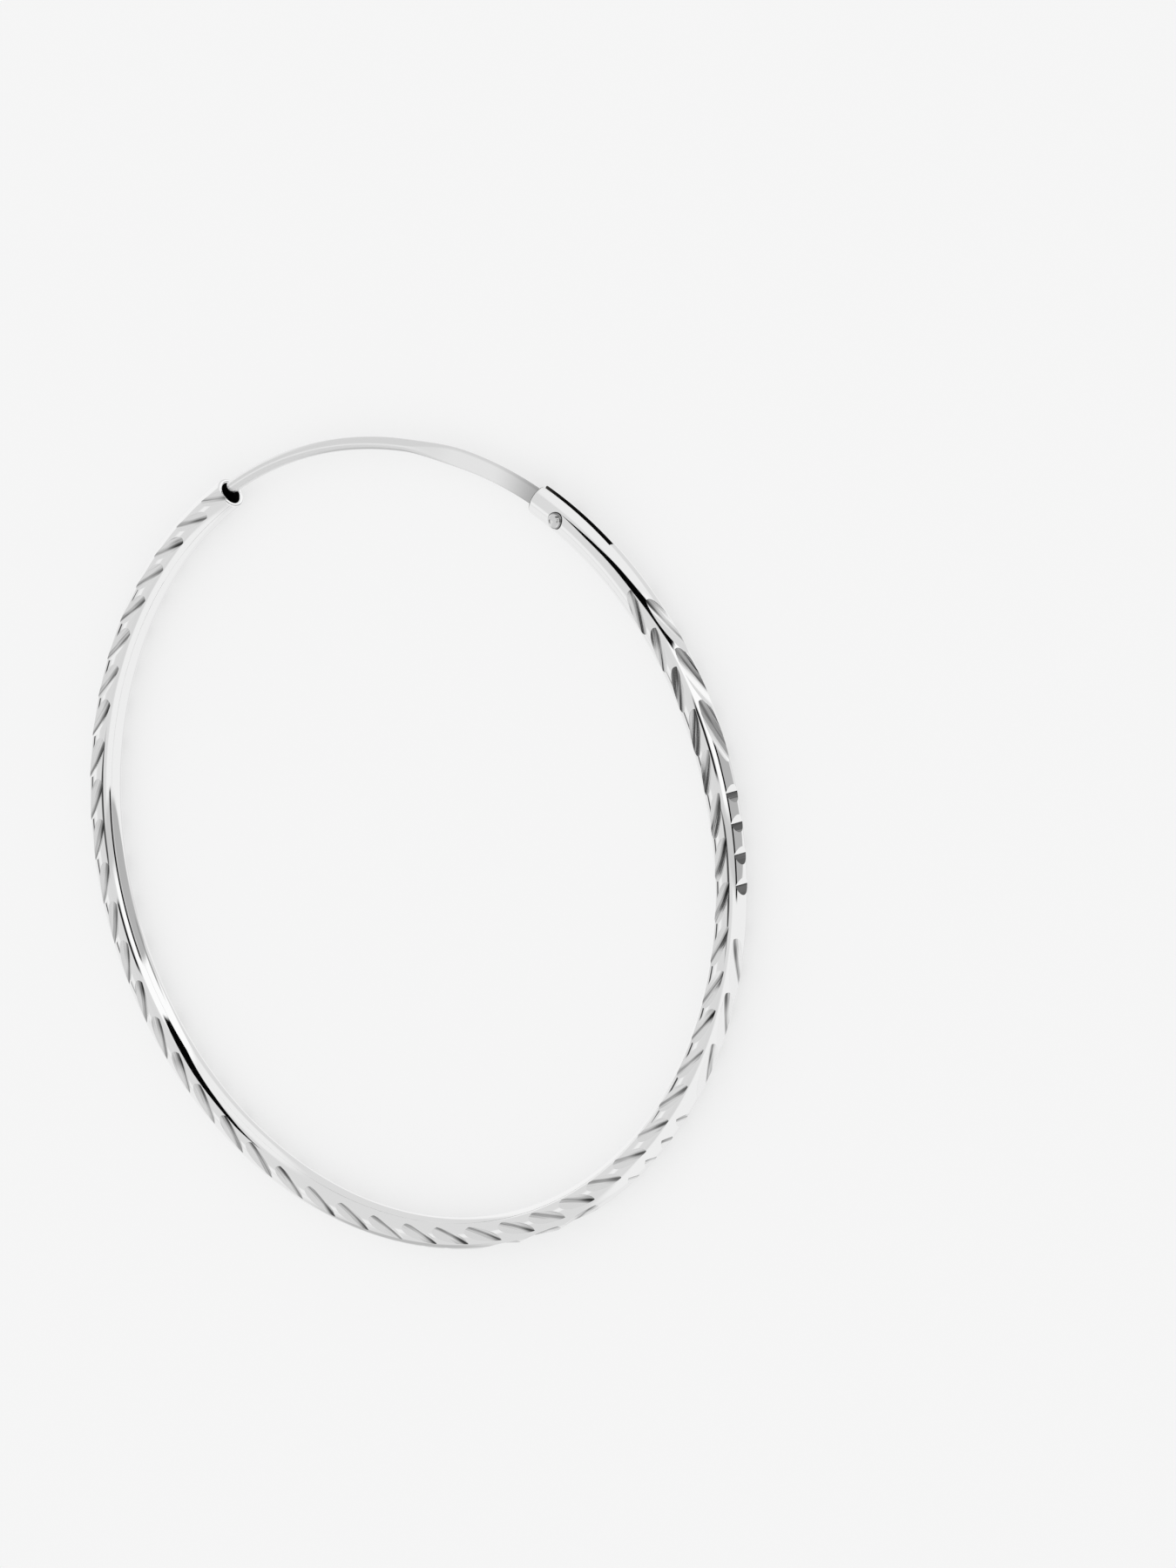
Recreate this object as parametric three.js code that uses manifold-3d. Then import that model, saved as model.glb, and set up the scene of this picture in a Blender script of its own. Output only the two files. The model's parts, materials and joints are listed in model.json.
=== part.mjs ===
// A hinged hoop earring of polished silver. A round tube, bent into three quarters and more of a circle, is
// engraved all over with slanted cuts. A thin ear wire is riveted into a slot at one end of the tube, swings
// outwards on its rivet, and closes the hoop with its tip in the open mouth at the tube's other end.
// The hoop lies flat: its axis is Z. Angles round the hoop run anticlockwise from +X, seen from above.
// Angles round the tube run from 0 on the outer side, over 90 on the upper side, to 180 on the inner side.
import * as THREE from "three";
import { mergeVertices } from "three/addons/utils/BufferGeometryUtils.js";
import Module from "manifold-3d";

// Driving dimensions, in millimetres
const hoopRadius = 25; // centre of the hoop to the middle of the tube
const tubeDiameter = 2;
const tubeWall = 0.3;
const wireDiameter = 0.8;
const tabThickness = 0.28; // the ear wire hammered flat at its hinge
const tabSideGap = 0.07; // tab to each side of the slot
const tabEdgeGap = 0.1; // edge of the tab to the bore
const slotLength = 5.9; // along the tube, from its hinge end
const rivetSetback = 2.2; // hinge end of the tube to the rivet
const rivetPinDiameter = 0.5;
const rivetHeadDiameter = 1;
const rivetHeadProud = 0.3; // dome above the tube's side
const rivetGap = 0.04; // rivet to the tube and to the tab
const tipEngagement = 0.2; // tip of the ear wire past the mouth of the tube
const tipOffset = 0.12; // tip towards the outer side of the mouth

// Driving dimensions, in degrees round the hoop
const hingeEndAngle = 65;
const mouthAngle = -236;
const tabEndAngle = 80; // the hammered tab runs on to here
const roundWireAngle = 90; // and the wire is round from here on

// Engraving on each side of the hoop: one row of slanted cuts
const sideCuts = { first: 41.75, pitch: 6.14, halfLength: 2.75, halfSpan: 35, broadTilt: 15, steepTilt: 30 };

// Engraving on the rim: groups of slanted cuts and straight notches, in turn
const rimGroups = { first: 38.85, pitch: 48.4 };
const rimCuts = { perGroup: 3, pitch: 7.75, halfLength: 3.3, halfSpan: 36.5, broadTilt: 1, steepTilt: 33 };
const rimNotches = { perGroup: 4, start: 25.1, pitch: 4.2, halfSpan: 36, broadTilt: 16, steepTilt: 20 };

// Fineness of the faceted solids
const tubeSides = 16;
const boreSides = 12;
const wireSides = 12;
const degreesPerStep = 5;
const roundSides = 20;

const tubeRadius = tubeDiameter / 2;
const boreRadius = tubeRadius - tubeWall;
const wireRadius = wireDiameter / 2;
const rivetPinRadius = rivetPinDiameter / 2;
const rivetHeadRadius = rivetHeadDiameter / 2;
const rivetAngle = hingeEndAngle - arcDegrees(rivetSetback);
const slotEndAngle = hingeEndAngle - arcDegrees(slotLength);

const silver = { color: 0xe6e6e4, metalness: 1 };

const wasm = await Module();
wasm.setup();

// An arc length along the middle of the tube, as an angle round the hoop
function arcDegrees(length) {
  return THREE.MathUtils.radToDeg(length / hoopRadius);
}

// The direction from the hoop's centre at an angle round it
function radial(degrees) {
  const angle = THREE.MathUtils.degToRad(degrees);
  return new THREE.Vector3(Math.cos(angle), Math.sin(angle), 0);
}

// A point on the tube's surface, from its angle round the hoop and its angle round the tube
function onTube(degrees, around) {
  const angle = THREE.MathUtils.degToRad(around);
  const point = radial(degrees).multiplyScalar(hoopRadius + tubeRadius * Math.cos(angle));
  return point.setZ(tubeRadius * Math.sin(angle));
}

// The arc along the middle of the tube, between two angles round the hoop
class HoopArc extends THREE.Curve {
  constructor(from, to) {
    super();
    this.from = from;
    this.to = to;
  }

  getPoint(t, target = new THREE.Vector3()) {
    return target.copy(radial(THREE.MathUtils.lerp(this.from, this.to, t))).multiplyScalar(hoopRadius);
  }
}

// A closed mesh as a solid that can be joined and cut
function solid(geometry, matrix = new THREE.Matrix4()) {
  const bare = new THREE.BufferGeometry();
  bare.setAttribute("position", geometry.getAttribute("position"));
  bare.setIndex(geometry.index);
  const merged = mergeVertices(bare.clone().applyMatrix4(matrix), 1e-4);
  const vertProperties = new Float32Array(merged.attributes.position.array);
  const triVerts = new Uint32Array(merged.index.array);
  return new wasm.Manifold(new wasm.Mesh({ numProp: 3, vertProperties, triVerts }));
}

// A solid as a named mesh of silver
function meshOf(name, body, roughness) {
  const cut = body.getMesh();
  const geometry = new THREE.BufferGeometry();
  geometry.setAttribute("position", new THREE.BufferAttribute(new Float32Array(cut.vertProperties), 3));
  geometry.setIndex(new THREE.BufferAttribute(new Uint32Array(cut.triVerts), 1));
  geometry.computeVertexNormals();
  const mesh = new THREE.Mesh(geometry, new THREE.MeshStandardMaterial({ ...silver, roughness }));
  mesh.name = name;
  return mesh;
}

// A regular outline whose sides, not corners, face the four main directions
function regularOutline(radius, sides) {
  return Array.from({ length: sides }, (_, i) => {
    const angle = ((i + 0.5) / sides) * 2 * Math.PI;
    return new THREE.Vector2(radius * Math.cos(angle), radius * Math.sin(angle));
  });
}

// A cylinder along Z between two heights, at a place in the hoop's plane
function postSolid(radius, low, high, place) {
  const post = new THREE.CylinderGeometry(radius, radius, high - low, roundSides);
  const matrix = new THREE.Matrix4().makeRotationX(Math.PI / 2);
  matrix.setPosition(place.x, place.y, (low + high) / 2);
  return solid(post, matrix);
}

// A V-shaped groove, as the prism that it removes. Its straight bottom passes through two points on the tube and
// on into the air, out is the way out of the metal, and each flank leans away from the bottom by its own tilt
// above the surface.
function grooveSolid(from, to, out, leftTilt, rightTilt) {
  const along = to.clone().sub(from);
  const overrun = tubeRadius;
  const length = along.length() + 2 * overrun;
  along.normalize();
  const up = out.clone().addScaledVector(along, -out.dot(along)).normalize();
  const across = new THREE.Vector3().crossVectors(up, along);
  const reach = tubeDiameter;
  const left = Math.tan(THREE.MathUtils.degToRad(leftTilt)) * reach;
  const right = Math.tan(THREE.MathUtils.degToRad(rightTilt)) * reach;
  const section = new THREE.Shape([
    new THREE.Vector2(0, 0),
    new THREE.Vector2(reach, right),
    new THREE.Vector2(reach, right + reach),
    new THREE.Vector2(-reach, left + reach),
    new THREE.Vector2(-reach, left),
  ]);
  const prism = new THREE.ExtrudeGeometry(section, { depth: length, bevelEnabled: false });
  const start = from.clone().addScaledVector(along, -overrun);
  const matrix = new THREE.Matrix4().makeBasis(across, up, along).setPosition(start);
  return solid(prism, matrix);
}

// The engraving on one side of the hoop, 1 for the upper side and -1 for the lower, its mirror image
function sideEngraving(side) {
  const { first, pitch, halfLength, halfSpan, broadTilt, steepTilt } = sideCuts;
  const middle = 90 * side;
  const count = Math.ceil((first - mouthAngle) / pitch);
  return Array.from({ length: count }, (_, i) => {
    const centre = first - i * pitch;
    const outer = onTube(centre + halfLength, middle - halfSpan * side);
    const inner = onTube(centre - halfLength, middle + halfSpan * side);
    const out = new THREE.Vector3(0, 0, side);
    return side > 0
      ? grooveSolid(outer, inner, out, steepTilt, broadTilt)
      : grooveSolid(outer, inner, out, broadTilt, steepTilt);
  });
}

// The engraving on the rim, group by group up to the mouth
function rimEngraving() {
  const grooves = [];
  const { perGroup, pitch, halfLength, halfSpan, broadTilt, steepTilt } = rimCuts;
  for (let start = rimGroups.first; start > mouthAngle; start -= rimGroups.pitch) {
    for (let i = 0; i < perGroup; i++) {
      const centre = start - i * pitch;
      const upper = onTube(centre + halfLength, halfSpan);
      const lower = onTube(centre - halfLength, -halfSpan);
      grooves.push({ centre, cut: () => grooveSolid(upper, lower, radial(centre), broadTilt, steepTilt) });
    }
    for (let i = 0; i < rimNotches.perGroup; i++) {
      const centre = start - rimNotches.start - i * rimNotches.pitch;
      const upper = onTube(centre, rimNotches.halfSpan);
      const lower = onTube(centre, -rimNotches.halfSpan);
      grooves.push({
        centre,
        cut: () => grooveSolid(upper, lower, radial(centre), rimNotches.broadTilt, rimNotches.steepTilt),
      });
    }
  }
  return grooves.filter(({ centre }) => centre > mouthAngle).map(({ cut }) => cut());
}

// The height at which a round seat of some radius just breaks out at the tube's sides
function seatHeight(radius) {
  return Math.sqrt(tubeRadius ** 2 - radius ** 2);
}

// The hollow tube, with its slot, its rivet holes, their sunk seats and its engraving
function hoopTube() {
  const steps = Math.ceil((hingeEndAngle - mouthAngle) / degreesPerStep);
  const extrudePath = new HoopArc(hingeEndAngle, mouthAngle);
  const section = new THREE.Shape(regularOutline(tubeRadius, tubeSides));
  section.holes.push(new THREE.Path(regularOutline(boreRadius, boreSides)));
  let tube = solid(new THREE.ExtrudeGeometry(section, { steps, extrudePath }));

  const slotWidth = tabThickness + 2 * tabSideGap;
  const slotEnd = radial(slotEndAngle).multiplyScalar(hoopRadius);
  const towardsHinge = radial(hingeEndAngle).multiplyScalar(hoopRadius).sub(slotEnd);
  const slot = new THREE.BoxGeometry(towardsHinge.length() + tubeDiameter, tubeDiameter, slotWidth);
  slot.translate(towardsHinge.length() / 2 + tubeRadius, -tubeRadius, 0);
  const slotTurn = new THREE.Matrix4().makeRotationZ(Math.atan2(towardsHinge.y, towardsHinge.x));
  tube = tube.subtract(solid(slot, slotTurn.setPosition(slotEnd)));

  const place = radial(rivetAngle).multiplyScalar(hoopRadius);
  const seat = rivetHeadRadius + rivetGap;
  tube = tube.subtract(postSolid(rivetPinRadius + rivetGap, -tubeDiameter, tubeDiameter, place));
  tube = tube.subtract(postSolid(seat, seatHeight(seat), tubeDiameter, place));
  tube = tube.subtract(postSolid(seat, -tubeDiameter, -seatHeight(seat), place));

  for (const groove of [...sideEngraving(1), ...sideEngraving(-1), ...rimEngraving()]) {
    tube = tube.subtract(groove);
  }
  return meshOf("hoop_tube", tube, 0.08);
}

// The rivet: a pin with a domed head at each end, turned in one profile
function hingeRivet() {
  const seat = seatHeight(rivetHeadRadius + rivetGap) + rivetGap;
  const arc = Array.from({ length: 5 }, (_, i) => {
    const angle = (i / 5) * (Math.PI / 2);
    return new THREE.Vector2(
      rivetHeadRadius * Math.cos(angle),
      tubeRadius + rivetHeadProud * Math.sin(angle),
    );
  });
  const top = [
    new THREE.Vector2(rivetPinRadius, seat),
    new THREE.Vector2(rivetHeadRadius, seat),
    ...arc,
    new THREE.Vector2(0, tubeRadius + rivetHeadProud),
  ];
  const bottom = top.map((point) => new THREE.Vector2(point.x, -point.y)).reverse();
  const rivet = new THREE.LatheGeometry([...bottom, ...top], roundSides);
  const matrix = new THREE.Matrix4().makeRotationX(Math.PI / 2);
  matrix.setPosition(radial(rivetAngle).multiplyScalar(hoopRadius));
  return meshOf("hinge_rivet", solid(rivet, matrix), 0.1);
}

// A closed skin over rings of points, with the first and the last ring filled in
function loft(rings) {
  const sides = rings[0].length;
  const positions = rings.flat().flatMap((point) => point.toArray());
  const index = [];
  for (let ring = 0; ring < rings.length - 1; ring++) {
    for (let i = 0; i < sides; i++) {
      const a = ring * sides + i;
      const b = ring * sides + ((i + 1) % sides);
      index.push(a, b + sides, b, a, a + sides, b + sides);
    }
  }
  const last = (rings.length - 1) * sides;
  for (let i = 1; i < sides - 1; i++) {
    index.push(0, i, i + 1, last, last + i + 1, last + i);
  }
  const geometry = new THREE.BufferGeometry();
  geometry.setAttribute("position", new THREE.Float32BufferAttribute(positions, 3));
  geometry.setIndex(index);
  return geometry;
}

// The ear wire: round at its tip, hammered into a flat tab at its hinge, with a round eye for the rivet
function earWire() {
  const eyeRadius = boreRadius * Math.cos(Math.PI / boreSides) - tabEdgeGap;
  const tipAngle = mouthAngle + 360 + arcDegrees(tipEngagement);
  const eyeStart = rivetAngle - arcDegrees(eyeRadius);
  const tipStart = tipAngle - arcDegrees(wireRadius);

  const ringAt = (degrees, halfWidth, halfThickness, squareness, offset) =>
    Array.from({ length: wireSides }, (_, i) => {
      const angle = ((i + 0.5) / wireSides) * 2 * Math.PI;
      const rounded = (value) => Math.sign(value) * Math.abs(value) ** (1 / squareness);
      const out = hoopRadius + offset + halfWidth * rounded(Math.cos(angle));
      return radial(degrees).multiplyScalar(out).setZ(halfThickness * rounded(Math.sin(angle)));
    });

  // The half width of a round end, at a share of its radius from its very end
  const roundEnd = (share) => Math.sqrt(1 - (1 - share) ** 2);
  const endShares = [0.02, 0.1, 0.25, 0.5, 0.75];
  const halfTab = tabThickness / 2;
  const flat = 4; // squareness of the hammered section, where 1 is round
  const rings = [
    ...endShares.map((share) =>
      ringAt(eyeStart + arcDegrees(eyeRadius * share), eyeRadius * roundEnd(share), halfTab, flat, 0)),
    ringAt(rivetAngle, eyeRadius, halfTab, flat, 0),
  ];
  const offsetAt = (degrees) => tipOffset * THREE.MathUtils.smoothstep(degrees, tabEndAngle, tipAngle);
  const steps = Math.ceil((tipStart - rivetAngle) / degreesPerStep) * 2;
  for (let i = 1; i <= steps; i++) {
    const degrees = THREE.MathUtils.lerp(rivetAngle, tipStart, i / steps);
    const round = THREE.MathUtils.smoothstep(degrees, tabEndAngle, roundWireAngle);
    rings.push(ringAt(
      degrees,
      THREE.MathUtils.lerp(eyeRadius, wireRadius, round),
      THREE.MathUtils.lerp(halfTab, wireRadius, round),
      THREE.MathUtils.lerp(flat, 1, Math.sqrt(round)),
      offsetAt(degrees),
    ));
  }
  for (const share of [...endShares].reverse()) {
    const degrees = tipAngle - arcDegrees(wireRadius * share);
    const radius = wireRadius * roundEnd(share);
    rings.push(ringAt(degrees, radius, radius, 1, offsetAt(degrees)));
  }
  const place = radial(rivetAngle).multiplyScalar(hoopRadius);
  const eye = postSolid(rivetPinRadius + rivetGap, -tabThickness, tabThickness, place);
  return meshOf("ear_wire", solid(loft(rings)).subtract(eye), 0.1);
}

const earring = new THREE.Group();
earring.add(hoopTube(), hingeRivet(), earWire());

// The origin is under the middle of the earring, on the surface that it lies on
const box = new THREE.Box3().setFromObject(earring);
const middle = box.getCenter(new THREE.Vector3());
earring.children.forEach((piece) => piece.position.set(-middle.x, -middle.y, -box.min.z));

export default earring;
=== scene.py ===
import json
import math

import bmesh
import bpy
import numpy as np
from mathutils import Matrix, Vector

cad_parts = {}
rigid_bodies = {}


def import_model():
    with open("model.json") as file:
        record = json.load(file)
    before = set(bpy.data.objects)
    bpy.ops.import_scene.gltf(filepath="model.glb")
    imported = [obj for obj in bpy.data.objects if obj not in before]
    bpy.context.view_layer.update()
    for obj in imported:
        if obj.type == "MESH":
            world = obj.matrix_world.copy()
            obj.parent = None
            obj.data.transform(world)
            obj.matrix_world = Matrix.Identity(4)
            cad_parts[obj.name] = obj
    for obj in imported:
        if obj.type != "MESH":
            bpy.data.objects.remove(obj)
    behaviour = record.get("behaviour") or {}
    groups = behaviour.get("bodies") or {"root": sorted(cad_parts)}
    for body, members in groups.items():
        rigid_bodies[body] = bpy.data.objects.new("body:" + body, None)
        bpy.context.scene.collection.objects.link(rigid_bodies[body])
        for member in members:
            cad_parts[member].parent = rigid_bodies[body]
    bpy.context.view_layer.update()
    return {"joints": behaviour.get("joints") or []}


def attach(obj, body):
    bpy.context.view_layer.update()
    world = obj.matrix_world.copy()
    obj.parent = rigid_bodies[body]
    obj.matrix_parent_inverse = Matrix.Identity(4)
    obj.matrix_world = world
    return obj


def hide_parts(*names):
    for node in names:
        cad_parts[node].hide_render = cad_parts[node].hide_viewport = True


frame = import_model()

# A hinged hoop earring of polished silver lies on a pale studio floor. A hollow tube, bent into most of a
# circle, is engraved all over with bright cuts. An ear wire is riveted into a slot at one end of the tube,
# and its tip closes the hoop in the tube's open mouth.
# Angles round the hoop run anticlockwise from +X, seen from above. Angles round the tube run from 0 on the
# outer side, over 90 on the upper side, to 180 on the inner side.

# Sizes of the real earring, in millimetres
HOOP_RADIUS = 25.0
TUBE_RADIUS = 1.0
BORE_RADIUS = 0.7
END_ROUNDING = 0.12
WIRE_RADIUS = 0.4
TAB_THICKNESS = 0.28
TAB_SIDE_GAP = 0.07
TAB_EDGE_GAP = 0.12
SLOT_LENGTH = 5.9
RIVET_SETBACK = 2.2
RIVET_PIN_RADIUS = 0.25
RIVET_HEAD_RADIUS = 0.5
RIVET_HEAD_PROUD = 0.3
RIVET_GAP = 0.04
TIP_ENGAGEMENT = 0.14
TIP_OFFSET = 0.24

# Places round the hoop, in degrees
HINGE_END = 65.0
MOUTH = -236.0
TAB_END = 80.0
ROUND_WIRE = 90.0

# Engraving: each cut is a V with a broad and a steep flank, hollowed a little along its length by the
# radius of its wheel. Places, pitches and half lengths are in degrees round the hoop, half spans in degrees
# round the tube, and tilts in degrees from the tube's skin.
SIDE_CUTS = {
    "first": 41.75, "pitch": 6.14,
    "half_length": 2.75, "half_span": 33, "tilts": (17, 30), "wheel": 14.0,
}
RIM_GROUPS = {"first": 38.85, "pitch": 48.4}
RIM_CUTS = {
    "count": 3, "start": 0, "pitch": 7.75,
    "half_length": 3.3, "half_span": 36.5, "tilts": (1, 29), "wheel": 30.0,
}
RIM_NOTCHES = {
    "count": 4, "start": 25.1, "pitch": 4.2,
    "half_length": 0, "half_span": 36, "tilts": (16, 20), "wheel": 30.0,
}
FLANK_HOLLOW = 3.0  # radius of the hollow across a flank
FLANK_WIDTH = 0.4
HAND_TILT = 2.5  # most that the engraver's hand leans a cut, in degrees
HAND_SLIP = 0.2  # and shifts it along the tube, in degrees round the hoop
PASS_LENGTH = 10.0  # more than any cut's, so that each cut has its own stretch of the finish
SHADED_ENDS_TOWARDS = 50.0  # degrees round the hoop; the cuts' ends on that side get the painted shade and black streak

MM = 0.001
ROW_CENTRE = Vector(frame["joints"][0]["pos_m"])

# Camera: its place from the hoop's centre in metres, and the directions of its right, up and back
CAMERA_FROM_CENTRE = (0.303735, 0.102819, 0.377225)
CAMERA_RIGHT = (0.79409054, -0.00705325, -0.60775856)
CAMERA_UP = (-0.11657224, 0.97960174, -0.16368061)
CAMERA_BACK = (0.59651583, 0.20082499, 0.77707026)
CAMERA_LENS = 181.98
SENSOR_WIDTH = 36.0


def degrees_of(length):
    """A length along the middle of the tube, as an angle round the hoop."""
    return math.degrees(length / HOOP_RADIUS)


RIVET_ANGLE = HINGE_END - degrees_of(RIVET_SETBACK)
SLOT_END = HINGE_END - degrees_of(SLOT_LENGTH)


def radial(degrees):
    """Directions from the hoop's centre at angles round it."""
    angle = np.radians(degrees)
    return np.stack([np.cos(angle), np.sin(angle), np.zeros_like(angle)], axis=-1)


def tube_normal(degrees, around):
    """Directions out of the tube at angles round the hoop and round the tube."""
    angle = np.radians(np.asarray(around, float))[..., None]
    return radial(degrees) * np.cos(angle) + np.array([0, 0, 1.0]) * np.sin(angle)


def on_tube(degrees, around, radius=TUBE_RADIUS):
    """Points at a distance from the middle of the tube."""
    return radial(degrees) * HOOP_RADIUS + tube_normal(degrees, around) * radius


RIVET_PLACE = radial(np.array(RIVET_ANGLE)) * HOOP_RADIUS
HOOP_CENTRE = ROW_CENTRE - Vector(RIVET_PLACE) * MM


class Skin:
    """The faces of one closed piece, each corner with its place, the true normal there and a place in
    millimetres on the unrolled surface, which the finishes use."""

    def __init__(self):
        self.points = []
        self.normals = []
        self.flat = []
        self.sizes = []
        self.finishes = []

    def grid(self, points, normals, flat, finish):
        """Four-cornered faces between rows of points."""
        quads = [
            np.stack([a[:-1, :-1], a[1:, :-1], a[1:, 1:], a[:-1, 1:]], axis=2).reshape(-1, a.shape[-1])
            for a in (points, normals, flat)
        ]
        self.points.append(quads[0])
        self.normals.append(quads[1])
        self.flat.append(quads[2])
        count = len(quads[0]) // 4
        self.sizes += [4] * count
        self.finishes += [finish] * count

    def cap(self, points, normal, finish):
        """One flat face through points."""
        self.points.append(np.asarray(points, float))
        self.normals.append(np.tile(normal, (len(points), 1)))
        self.flat.append(np.asarray(points, float)[:, :2])
        self.sizes.append(len(points))
        self.finishes.append(finish)

    def mesh(self, name, finishes):
        """The piece as a Blender mesh in millimetres, with its materials, its faces turned outwards."""
        corners = np.concatenate(self.points)
        _, first, index = np.unique(corners.round(6), axis=0, return_index=True, return_inverse=True)
        index = index.ravel()
        sizes = np.array(self.sizes)
        ends = np.cumsum(sizes)
        starts = ends - sizes
        before = np.arange(len(index)) - 1
        before[starts] = ends - 1
        distinct = index != index[before]  # at a pole, corners of a face meet in one point
        face_of = np.repeat(np.arange(len(sizes)), sizes)
        left = np.bincount(face_of, distinct, len(sizes)).astype(int)
        kept = distinct & (left[face_of] > 2)
        stops = np.cumsum(left[left > 2])
        faces = [part.tolist() for part in np.split(index[kept], stops[:-1])]
        mesh = bpy.data.meshes.new(name)
        mesh.from_pydata(corners[first].tolist(), [], faces)
        for material in finishes:
            mesh.materials.append(material)
        mesh.polygons.foreach_set("material_index", np.array(self.finishes)[left > 2])
        true_normal = mesh.attributes.new("true_normal", "FLOAT_VECTOR", "CORNER")
        true_normal.data.foreach_set("vector", np.concatenate(self.normals)[kept].ravel())
        unrolled = mesh.uv_layers.new(name="unrolled")
        unrolled.data.foreach_set("uv", np.concatenate(self.flat)[kept].ravel())
        closed = bmesh.new()
        closed.from_mesh(mesh)
        if closed.calc_volume(signed=True) < 0:
            mesh.flip_normals()
        closed.free()
        return mesh


def place_piece(name, mesh, body, slot, *nodes):
    """Takes a mesh from millimetres round the hoop's centre to its place, gives it its true normals, and
    makes it the piece that stands for its nodes."""
    count = len(mesh.loops)
    normals = np.empty(count * 3, np.float32)
    mesh.attributes["true_normal"].data.foreach_get("vector", normals)
    mesh.attributes.remove(mesh.attributes["true_normal"])
    mesh.transform(Matrix.Translation(HOOP_CENTRE) @ Matrix.Scale(MM, 4))
    mesh.polygons.foreach_set("use_smooth", [True] * len(mesh.polygons))
    mesh.normals_split_custom_set(normals.reshape(-1, 3).tolist())
    mesh.name = name
    piece = bpy.data.objects.new(name, mesh)
    bpy.context.scene.collection.objects.link(piece)
    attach(piece, body)
    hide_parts(*nodes)
    return piece


def cut_away(blank, cutters, finishes):
    """A mesh less what the cutters take out of it."""
    collection = bpy.data.collections.new("cutters")
    bpy.context.scene.collection.children.link(collection)
    for index, skin in enumerate(cutters):
        name = f"cutter_{index}"
        collection.objects.link(bpy.data.objects.new(name, skin.mesh(name, finishes)))
    stock = bpy.data.objects.new("stock", blank.mesh("stock", finishes))
    bpy.context.scene.collection.objects.link(stock)
    boolean = stock.modifiers.new("cuts", "BOOLEAN")
    boolean.operation = "DIFFERENCE"
    boolean.operand_type = "COLLECTION"
    boolean.collection = collection
    boolean.solver = "MANIFOLD"
    graph = bpy.context.evaluated_depsgraph_get()
    cut = bpy.data.meshes.new_from_object(stock.evaluated_get(graph))
    for helper in [stock, *collection.objects]:
        mesh = helper.data
        bpy.data.objects.remove(helper)
        bpy.data.meshes.remove(mesh)
    bpy.data.collections.remove(collection)
    return cut


# Materials


def linear(hex_colour):
    """An sRGB hex colour as linear red, green, blue and alpha."""
    channels = [int(hex_colour[i:i + 2], 16) / 255 for i in (1, 3, 5)]
    return tuple(c / 12.92 if c <= 0.04045 else ((c + 0.055) / 1.055) ** 2.4 for c in channels) + (1.0,)


def node(tree, kind, settings=None, inputs=None):
    """Adds a node with its settings, and gives each named input a value or links it to an output."""
    made = tree.nodes.new(kind)
    for name, value in (settings or {}).items():
        setattr(made, name, value)
    for key, value in (inputs or {}).items():
        if isinstance(value, bpy.types.NodeSocket):
            tree.links.new(value, made.inputs[key])
        else:
            made.inputs[key].default_value = value
    return made


def new_material(name):
    """An empty material and its node tree."""
    material = bpy.data.materials.new(name)
    material.use_nodes = True
    material.node_tree.nodes.clear()
    return material, material.node_tree


def finish_with(tree, inputs):
    """Ends a material in its main shader."""
    shader = node(tree, "ShaderNodeBsdfPrincipled", inputs=inputs)
    node(tree, "ShaderNodeOutputMaterial", inputs={"Surface": shader.outputs["BSDF"]})


def polished_silver():
    """Sterling silver tube, drawn and wheel-polished: a near mirror whose surface still waves a little, so
    that reflected lines waver along it."""
    material, tree = new_material("polished_silver")
    place = node(tree, "ShaderNodeTexCoord").outputs["Object"]
    wave_size = 2.5 * MM
    waves = node(tree, "ShaderNodeTexNoise", inputs={
        "Vector": place, "Scale": 1 / wave_size, "Detail": 1.0})
    bump = node(tree, "ShaderNodeBump", inputs={
        "Height": waves.outputs["Fac"], "Distance": 0.02 * MM, "Strength": 0.5})
    haze_size = 0.8 * MM
    haze = node(tree, "ShaderNodeTexNoise", inputs={
        "Vector": place, "Scale": 1 / haze_size, "Detail": 3.0})
    roughness = node(tree, "ShaderNodeMapRange", inputs={
        "Value": haze.outputs["Fac"], "To Min": 0.02, "To Max": 0.06})
    finish_with(tree, {
        "Base Color": linear("#FCFCFC"), "Metallic": 1.0,
        "Roughness": roughness.outputs["Result"], "Normal": bump.outputs["Normal"]})
    return material


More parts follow.
